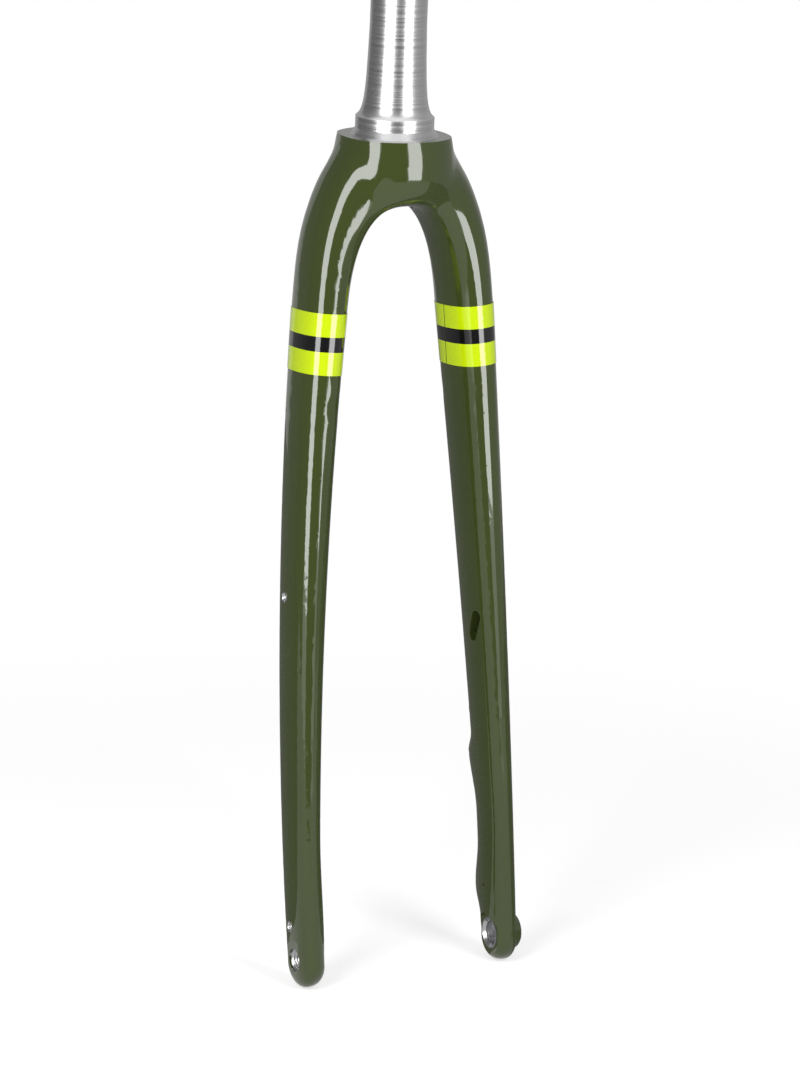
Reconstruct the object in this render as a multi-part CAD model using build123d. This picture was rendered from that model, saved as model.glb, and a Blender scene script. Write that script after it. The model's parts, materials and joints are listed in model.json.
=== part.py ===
# Rigid bicycle fork: moulded crown and legs, a tapered steerer tube, bonded metal inserts
# and the stripe films round the legs. Millimetres.
# Origin on the steerer's axis at the foot of the crown race seat, +Z up the steerer,
# -Y to the front, +X to the rider's left, which is the brake side.
from build123d import *
import os
from math import cos, hypot, pi, radians, sin

# Wheel fit: the axle's place below the crown's top face and ahead of the steerer
AXLE_DEPTH = 416.8
FORK_OFFSET = 46.9
HUB_WIDTH = 100.0
AXLE_BORE_R = 6.05
AXLE_THREAD_R = 5.2

# Legs: from the shoulder under the crown down to the axle
SHOULDER_DEPTH = 90.0
LEG_LEAN = 0.0424
FOOT_X = 56.6
LEG_SPREAD = 15.5
SPREAD_POWER = 1.84
SHOULDER_HALF_WIDTH = 11.66
FOOT_HALF_WIDTH = 6.51
SHOULDER_HALF_DEPTH = 19.56
FOOT_HALF_DEPTH = 12.68
SHOULDER_TOE = 2.82
FOOT_TOE = -3.2
LEG_FULLNESS = 0.68
LEG_JOIN_DROP = 50.0
FOOT_DROP = 2.0
FOOT_SWELL = 2.1
FOOT_SWELL_START = 66.8
FOOT_SWELL_FULL = 10.8

# Crown: a round neck that opens into the two shoulders over the wheel arch
NECK_R = 27.5
NECK_RISE = 24.3
NECK_SHARE = 0.62
NECK_HALF_DEPTH = 29.4
NECK_GATHER = 8
NECK_SPLIT = 0.4
NECK_FULLNESS = 0.5
SHOULDER_FILL = 0.3
SHOULDER_SWELL = 1.4
SHOULDER_ROUND = 3.17
ARCH_DEPTH = 34.8
ARCH_SQUARENESS = 2.67
ARCH_FULLNESS = 0.82

# Steerer: 28.6 mm tube, tapered to a 39.8 mm race seat with a conical flange
STEERER_R = 14.3
STEERER_WALL = 2.5
STEERER_TOP = 300.0
TAPER_TOP = 52.0
TAPER_HANDLES = ((15.6, 8.5), (15.1, 18.0))
SEAT_R = 19.9
SEAT_HEIGHT = 6.0
FLANGE_R = 22.3
FLANGE_HEIGHT = 3.4
SOCKET_R = 18.0
SOCKET_DEPTH = 29.0
CROWN_HOLE_R = 11.8

# Axle inserts and the hub recess they sit in
INSERT_FLANGE_R = 8.2
INSERT_FLANGE = 1.6
INSERT_TUBE_R = 7.0
INSERT_CHAMFER = 1.4
HUB_RECESS_R = 10.7
BRAKE_BOSS_FACE = 65.0
BRAKE_BOSS_R = 9.4
BRAKE_BOSS_FOOT_R = 12.6
BRAKE_BOSS_ROUND = 1.2
PLAIN_FACE = 62.6
PLAIN_LIP = 1.2
PLAIN_LIP_R = 6.0

# Rack and mudguard eyelets, M5, on the outer faces
EYELET_THREAD_R = 2.1
EYELET_R = 3.0
EYELET_LENGTH = 9.0
EYELET_PROUD = 0.15
MID_EYELET_DEPTH = 231.7
LOW_EYELET_RISE = 16.7
EYELET_REARWARD = 2.0

# Flat brake mount on the left leg's rear: two M5 inserts
BRAKE_SPACING = 70.0
BRAKE_LOW_RISE = 20.3
BRAKE_PAD_RISE = 6.0
BRAKE_PAD_STEEP = 13.0
BRAKE_PAD_RAMP = 26.0
BRAKE_PAD_LEAD = 13.5
BRAKE_FACE_R = 6.2
BRAKE_FACE_CUT = 0.6
BRAKE_FACE_TILT = 0.163
BRAKE_INSERT_R = 3.6
BRAKE_INSERT_LENGTH = 12.0

# Hose port and drain in the left leg's inner face
PORT_WIDTH = 6.5
PORT_LENGTH = 17.0
PORT_TILT = 15.0
PORT_DEPTH = 253.7
PORT_Y = -27.1
PORT_POCKET = 9.0
DRAIN_R = 0.8
DRAIN_RISE = 25.4
DRAIN_HOLE = 4.0

# Stripe films: a wide band with a narrow line let into its middle
STRIPE_TOP = 86.5
STRIPE_WIDTH = 31.0
LINE_WIDTH = 7.6
STRIPE_FILM = 0.2
STRIPE_BOND = 0.04
STRIPE_SEAM = 0.3
SLEEVE_OVERRUN = 14.5

# Length by which cutters run out of the body
CUT_OVERRUN = 10.0

CROWN_Z = -FLANGE_HEIGHT
HALF_HUB = HUB_WIDTH / 2
AXLE_Z = CROWN_Z - AXLE_DEPTH
FOOT_DEPTH = AXLE_DEPTH + FOOT_DROP
LEG_JOIN_DEPTH = SHOULDER_DEPTH + LEG_JOIN_DROP
LOW_EYELET_DEPTH = AXLE_DEPTH - LOW_EYELET_RISE
BRAKE_LOW_DEPTH = AXLE_DEPTH - BRAKE_LOW_RISE
BRAKE_TOP_DEPTH = BRAKE_LOW_DEPTH - BRAKE_SPACING
LEG_KNEE_DEPTH = BRAKE_TOP_DEPTH - BRAKE_PAD_STEEP - BRAKE_PAD_LEAD
DRAIN_DEPTH = AXLE_DEPTH - DRAIN_RISE


def blend(start, end, share):
    return start + (end - start) * share


def rake(depth):
    """Y of the leg's middle line: a straight lean plus a forward bow."""
    bow = FORK_OFFSET - LEG_LEAN * AXLE_DEPTH
    return -(LEG_LEAN * depth + bow * (depth / AXLE_DEPTH) ** 2)


def rake_slope(depth):
    return (rake(depth + 1) - rake(depth - 1)) / 2


def leg_share(depth):
    return (depth - SHOULDER_DEPTH) / (AXLE_DEPTH - SHOULDER_DEPTH)


def leg_x(depth):
    return FOOT_X - LEG_SPREAD * max(1 - leg_share(depth), 0) ** SPREAD_POWER


def leg_slope(depth):
    rate = LEG_SPREAD * SPREAD_POWER / (AXLE_DEPTH - SHOULDER_DEPTH)
    return rate * max(1 - leg_share(depth), 0) ** (SPREAD_POWER - 1)


def leg_half_width(depth):
    return blend(SHOULDER_HALF_WIDTH, FOOT_HALF_WIDTH, leg_share(depth))


def leg_half_depth(depth):
    return blend(SHOULDER_HALF_DEPTH, FOOT_HALF_DEPTH, leg_share(depth))


def brake_pad(depth):
    """Rise of the two brake pads: steep at their outer ends, a ramp between them."""
    rise = 0.0
    for peak, above, below in (
        (BRAKE_TOP_DEPTH, BRAKE_PAD_STEEP, BRAKE_PAD_RAMP),
        (BRAKE_LOW_DEPTH, BRAKE_PAD_RAMP, BRAKE_PAD_STEEP),
    ):
        reach = (depth - peak) / (below if depth > peak else above)
        if abs(reach) < 1:
            rise += BRAKE_PAD_RISE * cos(reach * pi / 2) ** 2
    return rise


def foot_swell(depth):
    """Extra thickness of the inner face round the hub, eased in along the leg."""
    share = (FOOT_SWELL_START - AXLE_DEPTH + depth) / (FOOT_SWELL_START - FOOT_SWELL_FULL)
    share = min(max(share, 0), 1)
    return FOOT_SWELL * share * share * (3 - 2 * share)


def oval(inner, outer, split, front, rear, inner_full, outer_full, toe):
    """Closed section of four curves in the plane of Y and the line from inner to outer."""
    length = hypot(outer[0] - inner[0], outer[1] - inner[1])
    along = ((outer[0] - inner[0]) / length, (outer[1] - inner[1]) / length)
    reach = {-1: split * length, 1: (1 - split) * length}
    full = {-1: inner_full, 1: outer_full}

    def place(r, y):
        r, y = r * cos(toe) - y * sin(toe), r * sin(toe) + y * cos(toe)
        x = inner[0] + along[0] * (reach[-1] + r)
        depth = inner[1] + along[1] * (reach[-1] + r)
        return (x, y + rake(max(depth, 0)), CROWN_Z - depth)

    curves = []
    for side, face in ((-1, -1), (1, -1), (1, 1), (-1, 1)):
        half = front if face < 0 else rear
        a, k = side * reach[side], full[side]
        points = [place(a, 0), place(a, face * k * half), place(k * a, face * half), place(0, face * half)]
        curves.append(Bezier(*(points if side * face > 0 else reversed(points))))
    return Wire(curves)


def leg_section(depth, grow=0.0, pads=False):
    """Section of a leg at a depth, grown outwards by a margin."""
    outside, slope = leg_half_width(depth) + grow, leg_slope(depth)
    inside = outside + foot_swell(depth)
    x, y = leg_x(depth), leg_half_depth(depth) + grow
    inner = (x - inside, depth + slope * inside)
    outer = (x + outside, depth - slope * outside)
    toe = radians(blend(SHOULDER_TOE, FOOT_TOE, leg_share(depth)))
    rear = y + (brake_pad(depth) if pads else 0)
    split = inside / (inside + outside)
    return oval(inner, outer, split, y, rear, LEG_FULLNESS, LEG_FULLNESS, toe)


def shoulder_x(depth):
    """Half-width of the crown, from the neck out to the leg's outer side."""
    share = depth / SHOULDER_DEPTH
    leg_side = leg_x(SHOULDER_DEPTH) + SHOULDER_HALF_WIDTH
    leg_side -= leg_slope(SHOULDER_DEPTH) * (SHOULDER_DEPTH - depth) * share
    return blend(NECK_R, leg_side, (1 - (1 - share) ** SHOULDER_ROUND) ** SHOULDER_SWELL)


def crown_section(turn):
    """Section that turns from the top of the leg (0) to the middle plane of the crown (1)."""
    slope = leg_slope(SHOULDER_DEPTH) * SHOULDER_HALF_WIDTH
    if turn <= NECK_SHARE:
        depth = (SHOULDER_DEPTH - slope) * (1 - turn / NECK_SHARE)
        outer = (shoulder_x(depth), depth)
    else:
        over = (turn - NECK_SHARE) / (1 - NECK_SHARE) * pi / 2
        outer = (NECK_R * cos(over), -NECK_RISE * sin(over))
    foot = SHOULDER_DEPTH + slope
    swing = turn * pi / 2
    depth = foot - (foot - ARCH_DEPTH) * sin(swing) ** (2 / ARCH_SQUARENESS)
    line = leg_x(SHOULDER_DEPTH) - SHOULDER_HALF_WIDTH - leg_slope(SHOULDER_DEPTH) * (foot - depth)
    inner = (line * max(cos(swing), 0) ** (2 / ARCH_SQUARENESS), depth)
    ease = sin(swing) ** 2
    gather = sin(swing) ** NECK_GATHER
    half = SHOULDER_HALF_DEPTH + SHOULDER_FILL * ease
    half = blend(half, NECK_HALF_DEPTH, gather)
    return oval(
        inner,
        outer,
        blend(0.5, NECK_SPLIT, ease),
        half,
        half,
        blend(LEG_FULLNESS, ARCH_FULLNESS, ease),
        blend(LEG_FULLNESS, NECK_FULLNESS, ease),
        radians(SHOULDER_TOE) * (1 - ease),
    )


def steps(start, end, count):
    return [blend(start, end, i / count) for i in range(count + 1)]


def leg_solid(pads):
    """Leg below the join, with a rounded foot turned about a line just under the axle."""
    sections = [leg_section(depth, pads=pads) for depth in steps(LEG_KNEE_DEPTH, FOOT_DEPTH, 30)]
    leg = Solid.make_loft([leg_section(depth) for depth in steps(LEG_JOIN_DEPTH, LEG_KNEE_DEPTH, 8)])
    leg += Solid.make_loft(sections)
    middle = Vector(leg_x(FOOT_DEPTH), rake(FOOT_DEPTH), CROWN_Z - FOOT_DEPTH)
    rear = [edge for edge in sections[-1].edges() if edge.center().Y > middle.Y]
    toe = radians(blend(SHOULDER_TOE, FOOT_TOE, leg_share(FOOT_DEPTH)))
    across = Vector(cos(toe), sin(toe), 0)
    half = leg_half_width(FOOT_DEPTH)
    line = Line(middle - across * (half + foot_swell(FOOT_DEPTH)), middle + across * half)
    return leg + revolve(make_face(rear + [line]), Axis(middle, -across), 180)


def crown_solid():
    """Crown from one leg's join over the middle plane to the other, cut flat on top."""
    half = [leg_section(depth) for depth in steps(LEG_JOIN_DEPTH, SHOULDER_DEPTH, 4)[:-1]]
    half += [crown_section(turn) for turn in steps(0, 1, 10)]
    other = [wire.mirror(Plane.YZ) for wire in reversed(half[:-1])]
    top = Pos(0, 0, CROWN_Z + NECK_RISE) * Box(4 * NECK_R, 4 * NECK_R, 2 * NECK_RISE)
    return Solid.make_loft(half + other) - top


def turned(points, place, direction=(0, 0, 1)):
    """Solid turned from (radius, height) points about an axis through a place."""
    profile = make_face(Polyline(*[(r, 0, h) for r, h in points], close=True))
    return Plane(place, z_dir=direction) * revolve(profile, Axis.Z)


def rod(radius, start, end, place, direction=(0, 0, 1)):
    return turned([(0, start), (radius, start), (radius, end), (0, end)], place, direction)


def hub_recess(side):
    """Seat for the hub's end in the inner face of a foot, open below."""
    inner = HALF_HUB - 4 * FOOT_SWELL
    seat = rod(HUB_RECESS_R, inner, HALF_HUB, axle_place, (side, 0, 0))
    way_in = Box(HALF_HUB - inner, 2 * HUB_RECESS_R, 4 * HUB_RECESS_R)
    return seat + Pos(side * (inner + HALF_HUB) / 2, -FORK_OFFSET, AXLE_Z - 2 * HUB_RECESS_R) * way_in


def eyelet_rod(side, depth, radius, over=0.0):
    """Rod on the axis of an eyelet, from its foot to its outer end."""
    place = (0, rake(depth) + EYELET_REARWARD, CROWN_Z - depth)
    face = leg_x(depth) + leg_half_width(depth) + EYELET_PROUD
    return rod(radius, face - EYELET_LENGTH, face + over, place, (side, 0, 0))


def brake_place(depth):
    rear = rake(depth) + leg_half_depth(depth) + BRAKE_PAD_RISE - BRAKE_FACE_CUT
    return (leg_x(depth), rear, CROWN_Z - depth)


def leg_sleeve(grow):
    """Stretch of the left leg round the stripes, grown outwards by a margin."""
    start, end = STRIPE_TOP - SLEEVE_OVERRUN, STRIPE_TOP + STRIPE_WIDTH + SLEEVE_OVERRUN
    return Solid.make_loft([leg_section(depth, grow) for depth in steps(start, end, 4)])


def stripe_slab(middle, width):
    """Box square to the left leg's path that holds one stripe."""
    place = (leg_x(middle), rake(middle), CROWN_Z - middle)
    square = (leg_slope(middle), rake_slope(middle), -1)
    reach = 4 * SHOULDER_HALF_DEPTH
    return Plane(place, x_dir=(0, 1, 0), z_dir=square) * Box(reach, reach, width)


# Moulded body with the hub recesses and the outer boss of the brake leg
axle_place = (0, -FORK_OFFSET, AXLE_Z)
raw_body = crown_solid() + leg_solid(True) + leg_solid(False).mirror(Plane.YZ)
boss_points = [(0, FOOT_X), (BRAKE_BOSS_FOOT_R, FOOT_X)]
boss_points += [(BRAKE_BOSS_R, BRAKE_BOSS_FACE - BRAKE_BOSS_ROUND)]
boss_points += [(BRAKE_BOSS_R - BRAKE_BOSS_ROUND, BRAKE_BOSS_FACE), (0, BRAKE_BOSS_FACE)]
fork_body = raw_body + turned(boss_points, axle_place, (1, 0, 0))
fork_body -= hub_recess(1)
fork_body -= hub_recess(-1)

# Steerer tube: plug in the crown, flange, race seat, concave taper and plain tube
bore_r = STEERER_R - STEERER_WALL
plug_z = CROWN_Z - SOCKET_DEPTH
lower_line = Polyline(
    (bore_r, 0, STEERER_TOP),
    (bore_r, 0, plug_z),
    (SOCKET_R, 0, plug_z),
    (SOCKET_R, 0, CROWN_Z),
    (FLANGE_R, 0, CROWN_Z),
    (SEAT_R, 0, 0),
    (SEAT_R, 0, SEAT_HEIGHT),
)
taper_points = [(SEAT_R, SEAT_HEIGHT), *TAPER_HANDLES, (STEERER_R, TAPER_TOP)]
taper_line = Bezier(*[(r, 0, z) for r, z in taper_points])
upper_line = Polyline((STEERER_R, 0, TAPER_TOP), (STEERER_R, 0, STEERER_TOP), (bore_r, 0, STEERER_TOP))
steerer_tube = revolve(make_face(lower_line + taper_line + upper_line), Axis.Z)
fork_body -= rod(SOCKET_R, plug_z, 0, (0, 0, 0))
fork_body -= rod(CROWN_HOLE_R, plug_z - SOCKET_DEPTH, 0, (0, 0, 0))

# Axle inserts: a plain bore on the left, a threaded bore on the right
nodes = {"steerer_tube": steerer_tube}
for name, side, bore, face in (
    ("left_axle_insert", 1, AXLE_BORE_R, BRAKE_BOSS_FACE),
    ("right_axle_insert", -1, AXLE_THREAD_R, PLAIN_FACE - PLAIN_LIP),
):
    inner = HALF_HUB + INSERT_FLANGE
    points = [(bore + INSERT_CHAMFER, HALF_HUB), (INSERT_FLANGE_R, HALF_HUB), (INSERT_FLANGE_R, inner)]
    points += [(INSERT_TUBE_R, inner), (INSERT_TUBE_R, face), (bore + INSERT_CHAMFER / 2, face)]
    points += [(bore, face - INSERT_CHAMFER / 2), (bore, HALF_HUB + INSERT_CHAMFER)]
    nodes[name] = turned(points, axle_place, (side, 0, 0))
    fork_body -= rod(INSERT_TUBE_R, HALF_HUB, face, axle_place, (side, 0, 0))
    fork_body -= rod(INSERT_FLANGE_R, HALF_HUB, inner, axle_place, (side, 0, 0))

fork_body -= rod(PLAIN_LIP_R, HALF_HUB, PLAIN_FACE, axle_place, (-1, 0, 0))
fork_body -= rod(HUB_RECESS_R, PLAIN_FACE, PLAIN_FACE + CUT_OVERRUN, axle_place, (-1, 0, 0))

# Eyelets on both legs
for level, depth in (("mid", MID_EYELET_DEPTH), ("low", LOW_EYELET_DEPTH)):
    for hand, side in (("left", 1), ("right", -1)):
        sleeve = eyelet_rod(side, depth, EYELET_R)
        nodes[f"{hand}_{level}_eyelet"] = sleeve - eyelet_rod(side, depth, EYELET_THREAD_R)
        fork_body -= sleeve

# Brake inserts in spot faces on the two pads
rearward = (0, 1, -BRAKE_FACE_TILT)
for level, depth in (("upper", BRAKE_TOP_DEPTH), ("lower", BRAKE_LOW_DEPTH)):
    place = brake_place(depth)
    hole = rod(BRAKE_INSERT_R, -BRAKE_INSERT_LENGTH, 0, place, rearward)
    nodes[f"{level}_brake_insert"] = hole - rod(EYELET_THREAD_R, -BRAKE_INSERT_LENGTH, 0, place, rearward)
    fork_body -= hole
    fork_body -= rod(BRAKE_FACE_R, 0, CUT_OVERRUN, place, rearward)

# Hose port and drain hole
inner_x = leg_x(PORT_DEPTH) - leg_half_width(PORT_DEPTH)
slot = extrude(SlotOverall(PORT_LENGTH, PORT_WIDTH), PORT_POCKET, both=True)
port_plane = Plane((inner_x, PORT_Y, CROWN_Z - PORT_DEPTH), x_dir=(0, -1, 0), z_dir=(1, 0, 0))
fork_body -= port_plane * Rot(0, 0, 90 + PORT_TILT) * slot
drain_x = leg_x(DRAIN_DEPTH) - leg_half_width(DRAIN_DEPTH)
drain_place = (drain_x, rake(DRAIN_DEPTH), CROWN_Z - DRAIN_DEPTH)
fork_body -= rod(DRAIN_R, -DRAIN_HOLE, DRAIN_HOLE, drain_place, (1, 0, 0))

# Stripe films wrapped round the legs, each with a seam on the inner side
middle = STRIPE_TOP + STRIPE_WIDTH / 2
seam_place = Pos(leg_x(middle) - SHOULDER_HALF_WIDTH, rake(middle), CROWN_Z - middle)
film = leg_sleeve(STRIPE_BOND + STRIPE_FILM) - leg_sleeve(STRIPE_BOND) - raw_body
film -= seam_place * Box(SHOULDER_HALF_WIDTH, STRIPE_SEAM, 2 * STRIPE_WIDTH)
line = stripe_slab(middle, LINE_WIDTH)
for name, stripe in (
    ("yellow", film & stripe_slab(middle, STRIPE_WIDTH) - line),
    ("black", film & line),
):
    nodes[f"left_{name}_stripe"] = stripe
    nodes[f"right_{name}_stripe"] = stripe.mirror(Plane.YZ)

nodes["fork_body"] = fork_body
os.makedirs("parts", exist_ok=True)
for name, part in nodes.items():
    export_step(part, f"parts/{name}.step")
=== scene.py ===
"""Rigid bicycle fork: gloss paint, stripe films, turned metal, tapped inserts and a studio."""
import json
from math import cos, pi, radians, sin

import bmesh
import bpy
from bpy.props import FloatProperty, FloatVectorProperty, PointerProperty
from mathutils import Matrix, Vector


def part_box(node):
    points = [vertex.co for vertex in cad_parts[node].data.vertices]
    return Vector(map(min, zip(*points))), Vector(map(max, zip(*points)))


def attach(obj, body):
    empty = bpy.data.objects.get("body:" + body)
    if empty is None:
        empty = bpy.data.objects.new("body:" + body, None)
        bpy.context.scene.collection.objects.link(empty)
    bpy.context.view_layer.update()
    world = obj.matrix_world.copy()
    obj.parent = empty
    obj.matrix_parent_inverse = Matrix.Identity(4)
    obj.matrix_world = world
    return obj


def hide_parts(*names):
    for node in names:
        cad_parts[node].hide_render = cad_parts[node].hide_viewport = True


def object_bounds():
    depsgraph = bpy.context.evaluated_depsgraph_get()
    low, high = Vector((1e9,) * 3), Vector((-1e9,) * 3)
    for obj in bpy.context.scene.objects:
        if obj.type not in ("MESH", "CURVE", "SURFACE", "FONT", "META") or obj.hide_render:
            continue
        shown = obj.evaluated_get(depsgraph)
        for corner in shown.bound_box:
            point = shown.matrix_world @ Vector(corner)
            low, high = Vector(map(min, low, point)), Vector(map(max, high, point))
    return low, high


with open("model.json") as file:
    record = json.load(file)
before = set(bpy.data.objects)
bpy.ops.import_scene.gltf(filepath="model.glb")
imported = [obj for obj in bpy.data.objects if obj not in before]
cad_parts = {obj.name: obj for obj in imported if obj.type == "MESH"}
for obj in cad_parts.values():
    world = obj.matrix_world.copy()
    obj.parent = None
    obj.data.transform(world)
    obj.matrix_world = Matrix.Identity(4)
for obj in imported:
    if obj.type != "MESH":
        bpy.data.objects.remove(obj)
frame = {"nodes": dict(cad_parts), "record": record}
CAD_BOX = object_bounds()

bl_info = {
    "name": "Rigid Fork Finish",
    "version": (1, 0, 0),
    "blender": (4, 5, 0),
    "location": "View3D > Sidebar > Fork",
    "description": "Paint, films, turned metal, tapped inserts and studio for a bicycle fork",
    "category": "Object",
}

MM = 0.001
WHITE, BLACK = (1, 1, 1, 1), (0, 0, 0, 1)
MOUNTS = {mount["name"]: mount for mount in frame["record"]["mounts"]}
AXLE = Vector(MOUNTS["left_axle_bore"]["pos_m"])
FLOOR_Z = CAD_BOX[0][2] - 0.5 * MM

# Finishes: share by which a colour drifts, lowest and highest roughness, and height of the bumps
PAINT_DRIFT, BAND_DRIFT, LINE_DRIFT, METAL_DRIFT = 0.05, 0.03, 0.10, 0.04
PAINT_ROUGHNESS = (0.06, 0.09)
FILM_ROUGHNESS = (0.08, 0.12)
STEERER_ROUGHNESS = (0.24, 0.34)
AXLE_INSERT_ROUGHNESS = (0.20, 0.32)
SMALL_INSERT_ROUGHNESS = (0.22, 0.34)
COAT_WAVE = 0.0025 * MM
STEERER_MARK = 0.0025 * MM
AXLE_INSERT_MARK = 0.004 * MM
SMALL_INSERT_MARK = 0.003 * MM
COAT_IOR = 1.5
CLEAR_COAT_ROUGHNESS = 0.02
# Most values of a noise texture lie between these two
NOISE_RANGE = (0.3, 0.7)
# Colour sockets of a Mix node, and kinds of a group's sockets
MIX_FIRST, MIX_SECOND, MIX_RESULT = 6, 7, 2
VECTOR, VALUE = "NodeSocketVector", "NodeSocketFloat"

# Inserts with M5 threads, and their mounts
SMALL_INSERTS = {
    "upper_brake_insert": "upper_brake_thread",
    "lower_brake_insert": "lower_brake_thread",
    "left_mid_eyelet": "left_mid_eyelet_thread",
    "right_mid_eyelet": "right_mid_eyelet_thread",
    "left_low_eyelet": "left_low_eyelet_thread",
    "right_low_eyelet": "right_low_eyelet_thread",
}
STEPS_ROUND = 40
WELD_DISTANCE = 0.01 * MM
SHARP_ANGLE = radians(30)

# Floor: size, glow for the rays that see it, and where it turns plain white
FLOOR_RADIUS = 12.0
FLOOR_SIDES = 96
FLOOR_ROUGHNESS = 0.9
FLOOR_GLOSS = 0.1
FLOOR_GLOW = 0.52
FLOOR_FADE = (0.15, 0.6)

# Soft boxes: turn from the camera's side in degrees, width, and share of the power
SOFT_BOXES = {
    "left_soft_box": (-32, 0.52, 1.15),
    "right_soft_box": (45, 0.40, 0.85),
}
BOX_DISTANCE = 1.0
BOX_FOOT, BOX_TOP = -0.30, 0.75

# Screens: first and last turn from the camera's side in degrees, and share of the shade
WALL_SCREENS = {
    "left_screen": (-135, -48, 0.7),
    "front_screen": (-15, 32, 0.5),
    "right_screen": (57, 135, 1.6),
    "back_screen": (135, 225, 1.9),
}
FLOOR_SCREENS = {
    "floor_screen": (75, 285, 0.7),
    "front_floor_screen": (-75, 75, 2.6),
}
SCREEN_RADIUS = 1.3
SCREEN_TOP = 1.8
SCREEN_HOLE = 2 * MM
SCREEN_LIFT = 0.5 * MM
SCREEN_STEPS = 24

PICTURE_HEIGHT_MM = 36.0


class FinishSettings(bpy.types.PropertyGroup):
    """Colours and surface sizes of the fork's finishes."""

    paint_colour: FloatVectorProperty(
        name="Paint",
        description="Olive green of the moulded body under its gloss",
        subtype="COLOR",
        min=0.0,
        max=1.0,
        default=(0.045, 0.062, 0.013),
    )
    band_colour: FloatVectorProperty(
        name="Band",
        description="Neon yellow of the wide stripe film",
        subtype="COLOR",
        min=0.0,
        max=1.0,
        default=(0.60, 0.80, 0.003),
    )
    line_colour: FloatVectorProperty(
        name="Line",
        description="Black of the narrow stripe film",
        subtype="COLOR",
        min=0.0,
        max=1.0,
        default=(0.004, 0.004, 0.0045),
    )
    steerer_colour: FloatVectorProperty(
        name="Steerer",
        description="Bare aluminium of the steerer",
        subtype="COLOR",
        min=0.0,
        max=1.0,
        default=(0.78, 0.78, 0.79),
    )
    insert_colour: FloatVectorProperty(
        name="Inserts",
        description="Bare aluminium of the inserts",
        subtype="COLOR",
        min=0.0,
        max=1.0,
        default=(0.72, 0.72, 0.73),
    )
    seam_width: FloatProperty(
        name="Seam width",
        description="Gap where the two ends of a stripe film meet on the inside of a leg",
        subtype="DISTANCE",
        unit="LENGTH",
        min=0.0,
        default=0.0004,
    )
    ripple_size: FloatProperty(
        name="Ripple size",
        description="Width of the slow waves in the gloss coat",
        subtype="DISTANCE",
        unit="LENGTH",
        min=0.0005,
        default=0.010,
    )
    turning_feed: FloatProperty(
        name="Turning feed",
        description="Spacing of the lines left by the lathe tool",
        subtype="DISTANCE",
        unit="LENGTH",
        min=0.00002,
        default=0.00022,
    )


class ThreadSettings(bpy.types.PropertyGroup):
    """Sizes of the tapped inserts."""

    axle_pitch: FloatProperty(
        name="Axle pitch",
        description="Pitch of the through axle's thread",
        subtype="DISTANCE",
        unit="LENGTH",
        min=0.0002,
        default=0.0015,
    )
    bolt_pitch: FloatProperty(
        name="Bolt pitch",
        description="Pitch of the M5 threads in the eyelets and brake inserts",
        subtype="DISTANCE",
        unit="LENGTH",
        min=0.0002,
        default=0.0008,
    )
    depth_share: FloatProperty(
        name="Thread depth",
        description="Depth of a thread as a share of its pitch",
        min=0.1,
        max=0.8,
        default=0.54,
    )
    flange: FloatProperty(
        name="Flange",
        description="Thickness of the axle insert's flange on the hub side",
        subtype="DISTANCE",
        unit="LENGTH",
        min=0.0002,
        default=0.0016,
    )
    tube_radius: FloatProperty(
        name="Tube radius",
        description="Outer radius of the axle insert behind its flange",
        subtype="DISTANCE",
        unit="LENGTH",
        min=0.001,
        default=0.0070,
    )
    bolt_chamfer: FloatProperty(
        name="Bolt chamfer",
        description="Lead-in at the mouth of an M5 thread",
        subtype="DISTANCE",
        unit="LENGTH",
        min=0.0,
        default=0.0003,
    )


class StudioSettings(bpy.types.PropertyGroup):
    """Camera, floor, lamps and screens."""

    azimuth: FloatProperty(
        name="Azimuth",
        description="Turn of the camera round the fork, seen from the front",
        subtype="ANGLE",
        unit="ROTATION",
        default=radians(-26.727),
    )
    elevation: FloatProperty(
        name="Elevation",
        description="Height of the camera above the horizon",
        subtype="ANGLE",
        unit="ROTATION",
        default=radians(14.873),
    )
    roll: FloatProperty(
        name="Roll",
        description="Turn of the camera about its own line of sight",
        subtype="ANGLE",
        unit="ROTATION",
        default=radians(2.261),
    )
    distance: FloatProperty(
        name="Distance",
        description="From the camera to the point that it looks at",
        subtype="DISTANCE",
        unit="LENGTH",
        default=1.9296,
    )
    lens: FloatProperty(
        name="Lens",
        description="Focal length of the camera",
        subtype="DISTANCE_CAMERA",
        unit="CAMERA",
        default=127.28,
    )
    target: FloatVectorProperty(
        name="Target",
        description="Point that the camera looks at",
        subtype="TRANSLATION",
        unit="LENGTH",
        default=(0.001993, -0.020, -0.20599),
    )
    floor_colour: FloatVectorProperty(
        name="Floor",
        description="Pale floor under the fork",
        subtype="COLOR",
        min=0.0,
        max=1.0,
        default=(0.86, 0.86, 0.86),
    )
    box_power: FloatProperty(
        name="Soft box power",
        description="Power of each soft box beside the camera",
        subtype="POWER",
        unit="POWER",
        default=7.2,
    )
    room_light: FloatProperty(
        name="Room light",
        description="Strength of the even light from all sides",
        min=0.0,
        default=0.30,
    )
    screen_shade: FloatProperty(
        name="Screen shade",
        description="Brightness of the grey screens that the gloss and the metal mirror",
        min=0.0,
        max=1.0,
        default=0.20,
    )


def add_node(tree, kind, **values):
    """Node with its plain settings and the defaults of its inputs."""
    node = tree.nodes.new(kind)
    for key, value in values.items():
        if hasattr(node, key):
            setattr(node, key, value)
        else:
            node.inputs[key.replace("_", " ").title()].default_value = value
    return node


def new_group(name, inputs, outputs):
    """Empty shader node group with its named sockets, and its two end nodes."""
    group = bpy.data.node_groups.new(name, "ShaderNodeTree")
    for in_out, sockets in (("INPUT", inputs), ("OUTPUT", outputs)):
        for socket, kind in sockets.items():
            group.interface.new_socket(name=socket, in_out=in_out, socket_type=kind)
    return group, group.nodes.new("NodeGroupInput"), group.nodes.new("NodeGroupOutput")


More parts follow.
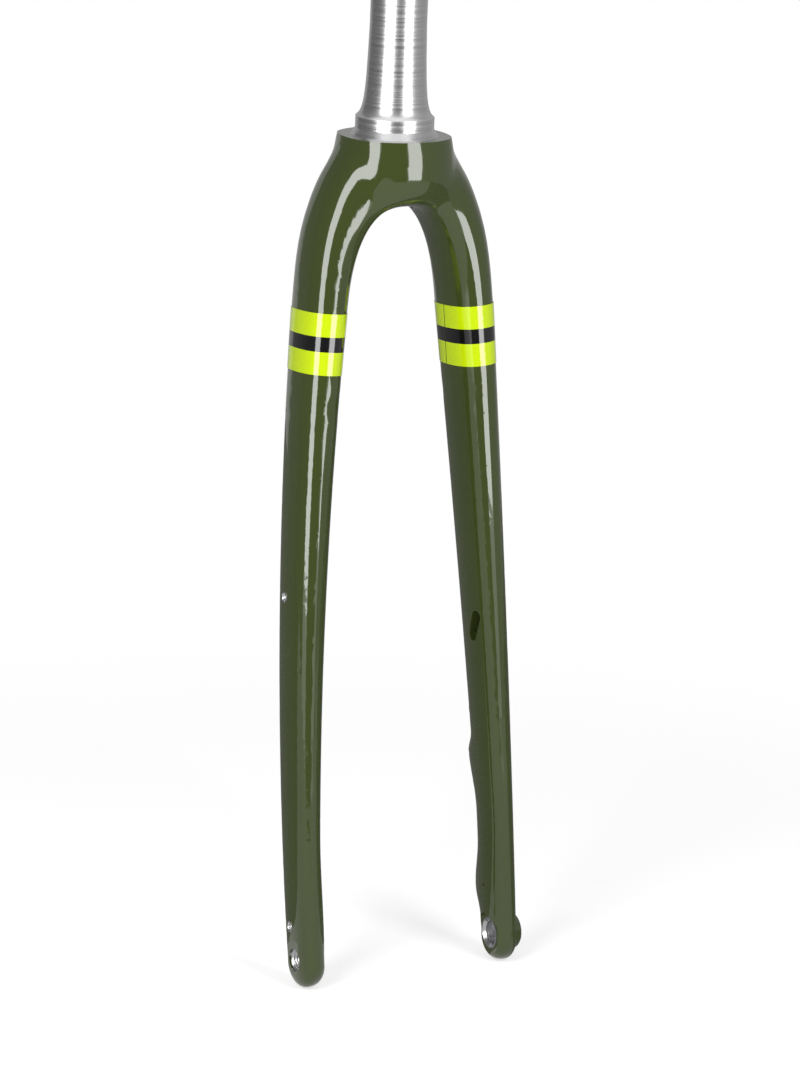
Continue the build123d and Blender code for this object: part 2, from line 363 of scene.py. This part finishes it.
def coat_ripple_group():
    """Slow waves and faint colour drift of a sprayed or laminated gloss coat."""
    group, start, end = new_group(
        "coat_ripple",
        {"Vector": VECTOR, "Size": VALUE},
        {"Height": VALUE, "Drift": VALUE},
    )
    link = group.links.new
    scale = add_node(group, "ShaderNodeMath", operation="DIVIDE")
    scale.inputs[0].default_value = 1.0
    link(start.outputs["Size"], scale.inputs[1])
    wave = add_node(group, "ShaderNodeTexNoise", detail=1.0, roughness=0.4)
    link(start.outputs["Vector"], wave.inputs["Vector"])
    link(scale.outputs[0], wave.inputs["Scale"])
    link(wave.outputs["Fac"], end.inputs["Height"])
    drift = add_node(group, "ShaderNodeTexNoise", scale=14.0, detail=2.0, roughness=0.5)
    link(start.outputs["Vector"], drift.inputs["Vector"])
    link(drift.outputs["Fac"], end.inputs["Drift"])
    return group


def film_seam_group():
    """Mask of the narrow gap on the inside of a leg, where the two ends of a film meet."""
    group, start, end = new_group(
        "film_seam",
        {"Vector": VECTOR, "Middle": VECTOR, "Width": VALUE},
        {"Mask": VALUE},
    )
    link = group.links.new
    point = group.nodes.new("ShaderNodeSeparateXYZ")
    link(start.outputs["Vector"], point.inputs["Vector"])
    middle = group.nodes.new("ShaderNodeSeparateXYZ")
    link(start.outputs["Middle"], middle.inputs["Vector"])
    half = add_node(group, "ShaderNodeMath", operation="DIVIDE")
    half.inputs[1].default_value = 2.0
    link(start.outputs["Width"], half.inputs[0])
    gap = add_node(group, "ShaderNodeMath", operation="COMPARE")
    link(point.outputs["Y"], gap.inputs[0])
    link(middle.outputs["Y"], gap.inputs[1])
    link(half.outputs[0], gap.inputs[2])
    out = add_node(group, "ShaderNodeMath", operation="ABSOLUTE")
    link(point.outputs["X"], out.inputs[0])
    inside = add_node(group, "ShaderNodeMath", operation="LESS_THAN")
    link(out.outputs[0], inside.inputs[0])
    link(middle.outputs["X"], inside.inputs[1])
    both = add_node(group, "ShaderNodeMath", operation="MULTIPLY")
    link(gap.outputs[0], both.inputs[0])
    link(inside.outputs[0], both.inputs[1])
    link(both.outputs[0], end.inputs["Mask"])
    return group


def turned_lines_group():
    """Fine uneven lines that a lathe tool leaves round an axis through a centre."""
    group, start, end = new_group(
        "turned_lines",
        {"Vector": VECTOR, "Axis": VECTOR, "Centre": VECTOR, "Feed": VALUE},
        {"Height": VALUE, "Shade": VALUE},
    )
    link = group.links.new
    arm = add_node(group, "ShaderNodeVectorMath", operation="SUBTRACT")
    link(start.outputs["Vector"], arm.inputs[0])
    link(start.outputs["Centre"], arm.inputs[1])
    along = add_node(group, "ShaderNodeVectorMath", operation="DOT_PRODUCT")
    around = add_node(group, "ShaderNodeVectorMath", operation="CROSS_PRODUCT")
    for measure in (along, around):
        link(arm.outputs["Vector"], measure.inputs[0])
        link(start.outputs["Axis"], measure.inputs[1])
    radius = add_node(group, "ShaderNodeVectorMath", operation="LENGTH")
    link(around.outputs["Vector"], radius.inputs[0])
    travel = add_node(group, "ShaderNodeMath", operation="ADD")
    link(along.outputs["Value"], travel.inputs[0])
    link(radius.outputs["Value"], travel.inputs[1])
    count = add_node(group, "ShaderNodeMath", operation="DIVIDE")
    link(travel.outputs[0], count.inputs[0])
    link(start.outputs["Feed"], count.inputs[1])
    fine = add_node(
        group, "ShaderNodeTexNoise", noise_dimensions="1D", scale=1.0, detail=2.0, roughness=0.6
    )
    link(count.outputs[0], fine.inputs["W"])
    link(fine.outputs["Fac"], end.inputs["Height"])
    broad = add_node(
        group, "ShaderNodeTexNoise", noise_dimensions="1D", scale=0.13, detail=3.0, roughness=0.7
    )
    link(count.outputs[0], broad.inputs["W"])
    link(broad.outputs["Fac"], end.inputs["Shade"])
    return group


def new_material(name):
    """Material with a Principled shader and an object coordinate node."""
    material = bpy.data.materials.new(name)
    material.use_nodes = True
    tree = material.node_tree
    shader = tree.nodes["Principled BSDF"]
    place = tree.nodes.new("ShaderNodeTexCoord")
    return material, tree, shader, place.outputs["Object"]


GROUPS = {
    "coat_ripple": coat_ripple_group,
    "film_seam": film_seam_group,
    "turned_lines": turned_lines_group,
}


def add_group(tree, name, **values):
    """Node that uses a shared group, which is made when it is first asked for."""
    node = tree.nodes.new("ShaderNodeGroup")
    node.node_tree = bpy.data.node_groups.get(name) or GROUPS[name]()
    for key, value in values.items():
        node.inputs[key].default_value = value
    return node


def drift_colour(tree, mask, colour, spread):
    """Colour that drifts a little lighter and darker with a mask."""
    ramp = tree.nodes.new("ShaderNodeValToRGB")
    stops = ramp.color_ramp.elements
    for stop, position, share in zip(stops, NOISE_RANGE, (1 - spread, 1 + spread)):
        stop.position = position
        stop.color = [*(part * share for part in colour), 1]
    tree.links.new(mask, ramp.inputs["Fac"])
    return ramp.outputs["Color"]


def vary(tree, mask, limits, socket):
    """Feeds a socket with a value that runs between two limits over a mask."""
    span = tree.nodes.new("ShaderNodeMapRange")
    span.inputs["From Min"].default_value, span.inputs["From Max"].default_value = NOISE_RANGE
    span.inputs["To Min"].default_value, span.inputs["To Max"].default_value = limits
    tree.links.new(mask, span.inputs["Value"])
    tree.links.new(span.outputs["Result"], socket)


def add_bump(tree, shader, height, depth):
    """Bump whose full height is given in metres."""
    bump = tree.nodes.new("ShaderNodeBump")
    bump.inputs["Strength"].default_value = 1.0
    bump.inputs["Distance"].default_value = depth
    tree.links.new(height, bump.inputs["Height"])
    tree.links.new(bump.outputs["Normal"], shader.inputs["Normal"])


def gloss_material(name, colour, spread, roughness):
    """Clear-coated surface of a plain colour, with slow waves and a faint drift."""
    finish = bpy.context.scene.fork_finish
    material, tree, shader, place = new_material(name)
    ripple = add_group(tree, "coat_ripple", Size=finish.ripple_size)
    tree.links.new(place, ripple.inputs["Vector"])
    drift = drift_colour(tree, ripple.outputs["Drift"], colour, spread)
    tree.links.new(drift, shader.inputs["Base Color"])
    vary(tree, ripple.outputs["Drift"], roughness, shader.inputs["Roughness"])
    add_bump(tree, shader, ripple.outputs["Height"], COAT_WAVE)
    shader.inputs["IOR"].default_value = COAT_IOR
    shader.inputs["Coat Weight"].default_value = 1.0
    shader.inputs["Coat Roughness"].default_value = CLEAR_COAT_ROUGHNESS
    return material


def film_material(name, colour, spread, middle):
    """Gloss film whose two ends meet at a narrow gap inside the leg, where the paint shows."""
    finish = bpy.context.scene.fork_finish
    material = gloss_material(name, colour, spread, FILM_ROUGHNESS)
    tree = material.node_tree
    base = tree.nodes["Principled BSDF"].inputs["Base Color"]
    film = base.links[0].from_socket
    seam = add_group(tree, "film_seam", Middle=middle, Width=finish.seam_width)
    tree.links.new(tree.nodes["Texture Coordinate"].outputs["Object"], seam.inputs["Vector"])
    mix = add_node(tree, "ShaderNodeMix", data_type="RGBA")
    tree.links.new(seam.outputs["Mask"], mix.inputs["Factor"])
    tree.links.new(film, mix.inputs[MIX_FIRST])
    mix.inputs[MIX_SECOND].default_value = (*finish.paint_colour, 1)
    tree.links.new(mix.outputs[MIX_RESULT], base)
    return material


def lathe_material(name, colour, axis, centre, depth, roughness):
    """Turned aluminium whose lines run round an axis through a centre."""
    finish = bpy.context.scene.fork_finish
    material, tree, shader, place = new_material(name)
    lines = add_group(tree, "turned_lines", Axis=axis, Centre=centre, Feed=finish.turning_feed)
    tree.links.new(place, lines.inputs["Vector"])
    drift = drift_colour(tree, lines.outputs["Shade"], colour, METAL_DRIFT)
    tree.links.new(drift, shader.inputs["Base Color"])
    vary(tree, lines.outputs["Shade"], roughness, shader.inputs["Roughness"])
    add_bump(tree, shader, lines.outputs["Height"], depth)
    shader.inputs["Metallic"].default_value = 1.0
    return material


def dress(node, material):
    """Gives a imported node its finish."""
    slots = frame["nodes"][node].data.materials
    slots.clear()
    slots.append(material)


class FORK_OT_paint_body(bpy.types.Operator):
    """Spray the moulded crown and legs in gloss olive"""

    bl_idname = "fork.paint_body"
    bl_label = "Paint Body"

    def execute(self, context):
        colour = context.scene.fork_finish.paint_colour
        paint = gloss_material("olive_paint", colour, PAINT_DRIFT, PAINT_ROUGHNESS)
        dress("fork_body", paint)
        return {"FINISHED"}


class FORK_OT_lay_stripes(bpy.types.Operator):
    """Lay the neon band and the black line round each leg"""

    bl_idname = "fork.lay_stripes"
    bl_label = "Lay Stripes"

    def execute(self, context):
        finish = context.scene.fork_finish
        low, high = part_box("left_yellow_stripe")
        middle = (Vector(low) + Vector(high)) / 2
        band = film_material("neon_film", finish.band_colour, BAND_DRIFT, middle)
        line = film_material("black_film", finish.line_colour, LINE_DRIFT, middle)
        for side in ("left", "right"):
            dress(f"{side}_yellow_stripe", band)
            dress(f"{side}_black_stripe", line)
        return {"FINISHED"}


class FORK_OT_turn_steerer(bpy.types.Operator):
    """Finish the steerer tube as satin turned aluminium"""

    bl_idname = "fork.turn_steerer"
    bl_label = "Turn Steerer"

    def execute(self, context):
        colour = context.scene.fork_finish.steerer_colour
        metal = lathe_material(
            "turned_steerer", colour, (0, 0, 1), (0, 0, 0), STEERER_MARK, STEERER_ROUGHNESS
        )
        dress("steerer_tube", metal)
        return {"FINISHED"}


def spin_outline(bm, points):
    """Turned shell from (radius, height) points round the Z axis."""
    verts = [bm.verts.new((radius, 0, height)) for radius, height in points]
    edges = [bm.edges.new(pair) for pair in zip(verts, verts[1:])]
    bmesh.ops.spin(
        bm, geom=verts + edges, axis=(0, 0, 1), angle=2 * pi, steps=STEPS_ROUND, use_merge=True
    )


def spin_thread(bm, bore, root, pitch, low, high):
    """Screw thread round the Z axis, with crests at the bore, cut off level at both ends."""
    verts = [bm.verts.new((bore, 0, low - pitch))]
    while verts[-1].co.z < high:
        foot = verts[-1].co.z
        verts.append(bm.verts.new((root, 0, foot + pitch / 2)))
        verts.append(bm.verts.new((bore, 0, foot + pitch)))
    edges = [bm.edges.new(pair) for pair in zip(verts, verts[1:])]
    rise = (0, 0, pitch / STEPS_ROUND)
    bmesh.ops.spin(
        bm, geom=verts + edges, axis=(0, 0, 1), dvec=rise, angle=2 * pi, steps=STEPS_ROUND
    )
    bmesh.ops.remove_doubles(bm, verts=bm.verts, dist=WELD_DISTANCE)
    for height, side in ((low, -1), (high, 1)):
        geom = bm.verts[:] + bm.edges[:] + bm.faces[:]
        bmesh.ops.bisect_plane(
            bm, geom=geom, plane_co=(0, 0, height), plane_no=(0, 0, side), clear_outer=True
        )


def tapped_insert(node, mount, pitch, outline, chamfers, material):
    """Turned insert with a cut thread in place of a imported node.

    The outline's (radius, height) points run from the lip at the lower end to the lip at the
    upper end, along the mount's axis from the middle of its bore. The chamfers lead in from
    those lips.
    """
    bore = mount["dims"]["r_mm"] * MM
    depth = bpy.context.scene.fork_thread.depth_share * pitch
    low = outline[0][1] + chamfers[0]
    high = outline[-1][1] - chamfers[1]
    bm = bmesh.new()
    spin_thread(bm, bore, bore + depth, pitch, low, high)
    spin_outline(bm, outline)
    middle = (low + high) / 2
    for side in (-1, 1):
        rims = [
            edge for edge in bm.edges
            if edge.is_boundary and all((vert.co.z - middle) * side > 0 for vert in edge.verts)
        ]
        bmesh.ops.bridge_loops(bm, edges=rims)
    bmesh.ops.recalc_face_normals(bm, faces=bm.faces)
    turn = Vector((0, 0, 1)).rotation_difference(Vector(mount["axis"])).to_matrix().to_4x4()
    bmesh.ops.transform(bm, matrix=Matrix.Translation(mount["pos_m"]) @ turn, verts=bm.verts)
    if any(edge.is_boundary for edge in bm.edges):
        raise RuntimeError(f"{node} is not closed")
    mesh = bpy.data.meshes.new(f"tapped_{node}")
    bm.to_mesh(mesh)
    bm.free()
    mesh.shade_smooth()
    mesh.set_sharp_from_angle(angle=SHARP_ANGLE)
    mesh.materials.append(material)
    piece = bpy.data.objects.new(f"tapped_{node}", mesh)
    bpy.context.scene.collection.objects.link(piece)
    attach(piece, "root")
    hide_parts(node)


class FORK_OT_fit_axle_inserts(bpy.types.Operator):
    """Finish the plain axle insert and cut the thread of the tapped one"""

    bl_idname = "fork.fit_axle_inserts"
    bl_label = "Fit Axle Inserts"

    def execute(self, context):
        colour = context.scene.fork_finish.insert_colour
        metal = lathe_material(
            "machined_axle_insert", colour, (1, 0, 0), AXLE, AXLE_INSERT_MARK, AXLE_INSERT_ROUGHNESS
        )
        dress("left_axle_insert", metal)
        thread = context.scene.fork_thread
        mount = MOUNTS["right_axle_thread"]
        bore = mount["dims"]["r_mm"] * MM
        half = mount["dims"]["length_mm"] * MM / 2
        low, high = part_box("right_axle_insert")
        outer, hub = low[0] - mount["pos_m"][0], high[0] - mount["pos_m"][0]
        flange_radius = (high[2] - low[2]) / 2
        chamfers = (-half - outer, hub - half)
        outline = [
            (bore + chamfers[0], outer),
            (thread.tube_radius, outer),
            (thread.tube_radius, hub - thread.flange),
            (flange_radius, hub - thread.flange),
            (flange_radius, hub),
            (bore + chamfers[1], hub),
        ]
        tapped_insert("right_axle_insert", mount, thread.axle_pitch, outline, chamfers, metal)
        return {"FINISHED"}


class FORK_OT_fit_small_inserts(bpy.types.Operator):
    """Turn the eyelets and the brake inserts and cut their threads"""

    bl_idname = "fork.fit_small_inserts"
    bl_label = "Fit Eyelets and Brake Inserts"

    def execute(self, context):
        thread = context.scene.fork_thread
        lead = thread.bolt_chamfer
        colour = context.scene.fork_finish.insert_colour
        for node, mount_name in SMALL_INSERTS.items():
            mount = MOUNTS[mount_name]
            metal = lathe_material(
                f"machined_{node}",
                colour,
                mount["axis"],
                mount["pos_m"],
                SMALL_INSERT_MARK,
                SMALL_INSERT_ROUGHNESS,
            )
            low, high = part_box(node)
            radius = (high[2] - low[2]) / 2 if "eyelet" in node else (high[0] - low[0]) / 2
            half = mount["dims"]["length_mm"] * MM / 2
            lip = mount["dims"]["r_mm"] * MM + lead
            outline = [(lip, -half), (radius, -half), (radius, half), (lip, half)]
            tapped_insert(node, mount, thread.bolt_pitch, outline, (lead, lead), metal)
        return {"FINISHED"}


def white_ray(tree):
    """Socket that is 1 for rays that show the background, straight or in a reflection."""
    path = tree.nodes.new("ShaderNodeLightPath")
    seen = path.outputs["Is Camera Ray"]
    for name in ("Is Glossy Ray", "Is Transmission Ray"):
        either = add_node(tree, "ShaderNodeMath", operation="MAXIMUM")
        tree.links.new(seen, either.inputs[0])
        tree.links.new(path.outputs[name], either.inputs[1])
        seen = either.outputs[0]
    return seen


def light_room(scene):
    """Even room light, with a white background for camera rays and reflections."""
    world = bpy.data.worlds.new("studio")
    world.use_nodes = True
    tree = world.node_tree
    room = tree.nodes["Background"]
    room.inputs["Color"].default_value = WHITE
    room.inputs["Strength"].default_value = scene.fork_studio.room_light
    white = tree.nodes.new("ShaderNodeBackground")
    white.inputs["Color"].default_value = WHITE
    white.inputs["Strength"].default_value = 1.0
    mix = tree.nodes.new("ShaderNodeMixShader")
    tree.links.new(white_ray(tree), mix.inputs["Fac"])
    tree.links.new(room.outputs[0], mix.inputs[1])
    tree.links.new(white.outputs[0], mix.inputs[2])
    tree.links.new(mix.outputs[0], tree.nodes["World Output"].inputs["Surface"])
    scene.world = world


def lay_floor(studio):
    """Wide pale floor just under the feet, plain white further out."""
    bm = bmesh.new()
    bmesh.ops.create_circle(bm, cap_ends=True, segments=FLOOR_SIDES, radius=FLOOR_RADIUS)
    bmesh.ops.translate(bm, verts=bm.verts, vec=(0, 0, FLOOR_Z))
    mesh = bpy.data.meshes.new("floor")
    bm.to_mesh(mesh)
    bm.free()
    floor = bpy.data.objects.new("floor", mesh)
    bpy.context.scene.collection.objects.link(floor)
    material, tree, shader, place = new_material("pale_floor")
    shader.inputs["Base Color"].default_value = (*studio.floor_colour, 1)
    shader.inputs["Roughness"].default_value = FLOOR_ROUGHNESS
    shader.inputs["Specular IOR Level"].default_value = FLOOR_GLOSS
    shader.inputs["Emission Color"].default_value = WHITE
    seen = white_ray(tree)
    glow = add_node(tree, "ShaderNodeMath", operation="MULTIPLY")
    glow.inputs[1].default_value = FLOOR_GLOW
    tree.links.new(seen, glow.inputs[0])
    tree.links.new(glow.outputs[0], shader.inputs["Emission Strength"])
    away = add_node(tree, "ShaderNodeVectorMath", operation="DISTANCE")
    away.inputs[1].default_value = (0, 0, FLOOR_Z)
    tree.links.new(place, away.inputs[0])
    edge = add_node(tree, "ShaderNodeMapRange", interpolation_type="SMOOTHSTEP")
    edge.inputs["From Min"].default_value, edge.inputs["From Max"].default_value = FLOOR_FADE
    tree.links.new(away.outputs["Value"], edge.inputs["Value"])
    far = add_node(tree, "ShaderNodeMath", operation="MULTIPLY")
    tree.links.new(edge.outputs["Result"], far.inputs[0])
    tree.links.new(seen, far.inputs[1])
    white = tree.nodes.new("ShaderNodeEmission")
    mix = tree.nodes.new("ShaderNodeMixShader")
    tree.links.new(far.outputs[0], mix.inputs["Fac"])
    tree.links.new(shader.outputs[0], mix.inputs[1])
    tree.links.new(white.outputs[0], mix.inputs[2])
    tree.links.new(mix.outputs[0], tree.nodes["Material Output"].inputs["Surface"])
    mesh.materials.append(material)


def place_screen(name, studio, start, end, inner, outer, shade):
    """Grey screen that only reflections show, swept round the fork from turn to turn.

    The turns are from the camera's side, and inner and outer are the (radius, height) ends of
    the line that is swept.
    """
    bm = bmesh.new()
    first = Matrix.Rotation(studio.azimuth + start, 3, "Z")
    verts = [bm.verts.new(first @ Vector((0, -radius, z))) for radius, z in (inner, outer)]
    edge = bm.edges.new(verts)
    bmesh.ops.spin(
        bm, geom=[*verts, edge], axis=(0, 0, 1), angle=end - start, steps=SCREEN_STEPS
    )
    mesh = bpy.data.meshes.new(name)
    bm.to_mesh(mesh)
    bm.free()
    screen = bpy.data.objects.new(name, mesh)
    bpy.context.scene.collection.objects.link(screen)
    for ray in ("camera", "diffuse", "transmission", "shadow", "volume_scatter"):
        setattr(screen, f"visible_{ray}", False)
    material, _, shader, _ = new_material(name)
    shader.inputs["Base Color"].default_value = BLACK
    shader.inputs["Specular IOR Level"].default_value = 0.0
    shader.inputs["Emission Color"].default_value = WHITE
    shader.inputs["Emission Strength"].default_value = shade
    material.cycles.emission_sampling = "NONE"
    mesh.materials.append(material)


def hang_soft_box(name, studio, turn, width, power):
    """Tall upright soft box at a turn from the camera's side."""
    data = bpy.data.lights.new(name, "AREA")
    data.shape = "RECTANGLE"
    data.size = width
    data.size_y = BOX_TOP - BOX_FOOT
    data.energy = power
    lamp = bpy.data.objects.new(name, data)
    lamp.visible_camera = False
    bpy.context.scene.collection.objects.link(lamp)
    angle = studio.azimuth + turn
    out = BOX_DISTANCE * Vector((sin(angle), -cos(angle), 0))
    lamp.location = (out.x, out.y, (BOX_FOOT + BOX_TOP) / 2)
    lamp.rotation_euler = (-out).to_track_quat("-Z", "Y").to_euler()


def set_camera(scene):
    """Camera at the picture's angle, with its small roll."""
    studio = scene.fork_studio
    back = Vector((
        sin(studio.azimuth) * cos(studio.elevation),
        -cos(studio.azimuth) * cos(studio.elevation),
        sin(studio.elevation),
    ))
    data = bpy.data.cameras.new("camera")
    data.sensor_fit = "VERTICAL"
    data.sensor_height = PICTURE_HEIGHT_MM
    data.lens = studio.lens
    camera = bpy.data.objects.new("camera", data)
    scene.collection.objects.link(camera)
    turn = back.to_track_quat("Z", "Y").to_matrix() @ Matrix.Rotation(studio.roll, 3, "Z")
    place = Vector(studio.target) + studio.distance * back
    camera.matrix_world = Matrix.Translation(place) @ turn.to_4x4()
    scene.camera = camera


class FORK_OT_build_stage(bpy.types.Operator):
    """Lay the floor, hang the soft boxes, stand the screens and set the camera"""

    bl_idname = "fork.build_stage"
    bl_label = "Build Stage"

    def execute(self, context):
        scene = context.scene
        studio = scene.fork_studio
        scene.view_settings.view_transform = "Standard"
        light_room(scene)
        lay_floor(studio)
        for name, (turn, width, share) in SOFT_BOXES.items():
            hang_soft_box(name, studio, radians(turn), width, share * studio.box_power)
        level = FLOOR_Z + SCREEN_LIFT
        wall = ((SCREEN_RADIUS, FLOOR_Z), (SCREEN_RADIUS, SCREEN_TOP))
        ground = ((SCREEN_HOLE, level), (SCREEN_RADIUS, level))
        for screens, line in ((WALL_SCREENS, wall), (FLOOR_SCREENS, ground)):
            for name, (start, end, share) in screens.items():
                shade = share * studio.screen_shade
                place_screen(name, studio, radians(start), radians(end), *line, shade)
        set_camera(scene)
        if scene.camera is None:
            raise RuntimeError("the stage has no camera")
        return {"FINISHED"}


class FORK_PT_sidebar(bpy.types.Panel):
    """Steps and settings of the fork's finish"""

    bl_idname = "FORK_PT_sidebar"
    bl_label = "Fork Finish"
    bl_space_type = "VIEW_3D"
    bl_region_type = "UI"
    bl_category = "Fork"

    def draw(self, context):
        layout = self.layout
        scene = context.scene
        for settings in (scene.fork_finish, scene.fork_thread, scene.fork_studio):
            box = layout.box()
            for name in settings.__annotations__:
                box.prop(settings, name)
        for operator in OPERATORS:
            layout.operator(operator.bl_idname)


OPERATORS = (
    FORK_OT_paint_body,
    FORK_OT_lay_stripes,
    FORK_OT_turn_steerer,
    FORK_OT_fit_axle_inserts,
    FORK_OT_fit_small_inserts,
    FORK_OT_build_stage,
)
CLASSES = (FinishSettings, ThreadSettings, StudioSettings, *OPERATORS, FORK_PT_sidebar)


def register():
    for cls in CLASSES:
        bpy.utils.register_class(cls)
    bpy.types.Scene.fork_finish = PointerProperty(type=FinishSettings)
    bpy.types.Scene.fork_thread = PointerProperty(type=ThreadSettings)
    bpy.types.Scene.fork_studio = PointerProperty(type=StudioSettings)


def unregister():
    del bpy.types.Scene.fork_studio
    del bpy.types.Scene.fork_thread
    del bpy.types.Scene.fork_finish
    for cls in reversed(CLASSES):
        bpy.utils.unregister_class(cls)


def main():
    register()
    bpy.ops.fork.paint_body()
    bpy.ops.fork.lay_stripes()
    bpy.ops.fork.turn_steerer()
    bpy.ops.fork.fit_axle_inserts()
    bpy.ops.fork.fit_small_inserts()
    bpy.ops.fork.build_stage()


if __name__ == "__main__":
    main()
